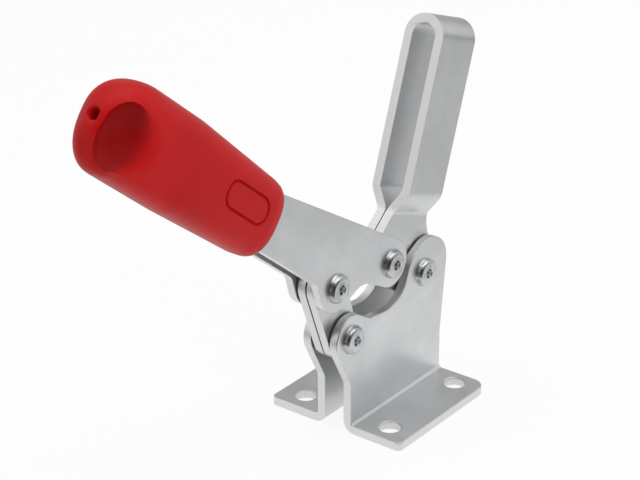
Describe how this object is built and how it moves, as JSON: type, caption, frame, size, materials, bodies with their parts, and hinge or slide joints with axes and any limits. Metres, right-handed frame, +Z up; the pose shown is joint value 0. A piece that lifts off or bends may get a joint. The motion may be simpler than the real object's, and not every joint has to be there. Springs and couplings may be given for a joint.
{
  "type": "toggle clamp",
  "caption": "Horizontal-handle hold-down toggle clamp on a flanged base, with a bent U-bar arm, riveted plate links and a moulded hand grip, shown open.",
  "frame": {"origin": "middle of the four bolt holes, on the face that is bolted down", "axes": "+X forward, the way the arm points when it is down, +Z up out of the bolted face, +Y across to the far side"},
  "size_m": [0.1455, 0.0434, 0.1226],
  "materials": {
    "zinc_plate_near": "pale zinc plating on stamped sheet, satin",
    "zinc_plate_far": "pale zinc plating on stamped sheet, satin",
    "zinc_strip": "pale zinc plating on bent strip, satin",
    "zinc_link": "pale zinc plating, satin",
    "red_grip": "red flexible moulding, smooth with a soft sheen",
    "rivet_zinc": "zinc plated rivet, head bright from the setting tool"
  },
  "bodies": {
    "base": {"near_base_bracket": "zinc_plate_near", "far_base_bracket": "zinc_plate_far", "arm_base_rivet": "rivet_zinc", "link_base_rivet": "rivet_zinc"},
    "arm": {"u_bar_arm": "zinc_strip"},
    "links": {"near_link": "zinc_link", "far_link": "zinc_link"},
    "handle": {"near_handle_plate": "zinc_plate_near", "far_handle_plate": "zinc_plate_far", "grip_sleeve": "red_grip", "arm_handle_rivet": "rivet_zinc", "link_handle_rivet": "rivet_zinc"}
  },
  "joints": [
    {"name": "arm_swing", "type": "hinge", "parent": "base", "child": "arm", "pos_m": [0.0125, 0, 0.0353], "axis": [0, 1, 0], "range_deg": [0, 70]},
    {"name": "link_swing", "type": "hinge", "parent": "base", "child": "links", "pos_m": [-0.0204, 0, 0.0283], "axis": [0, 1, 0], "range_deg": [0, 75.98]},
    {"name": "handle_swing", "type": "hinge", "parent": "links", "child": "handle", "pos_m": [-0.02683, 0, 0.04586], "axis": [0, 1, 0], "range_deg": [-115.32, 0]}
  ],
  "couplings": [
    {"joint": "link_swing", "follows": "arm_swing", "ratio": 1.0854},
    {"joint": "handle_swing", "follows": "arm_swing", "ratio": -1.6472}
  ]
}
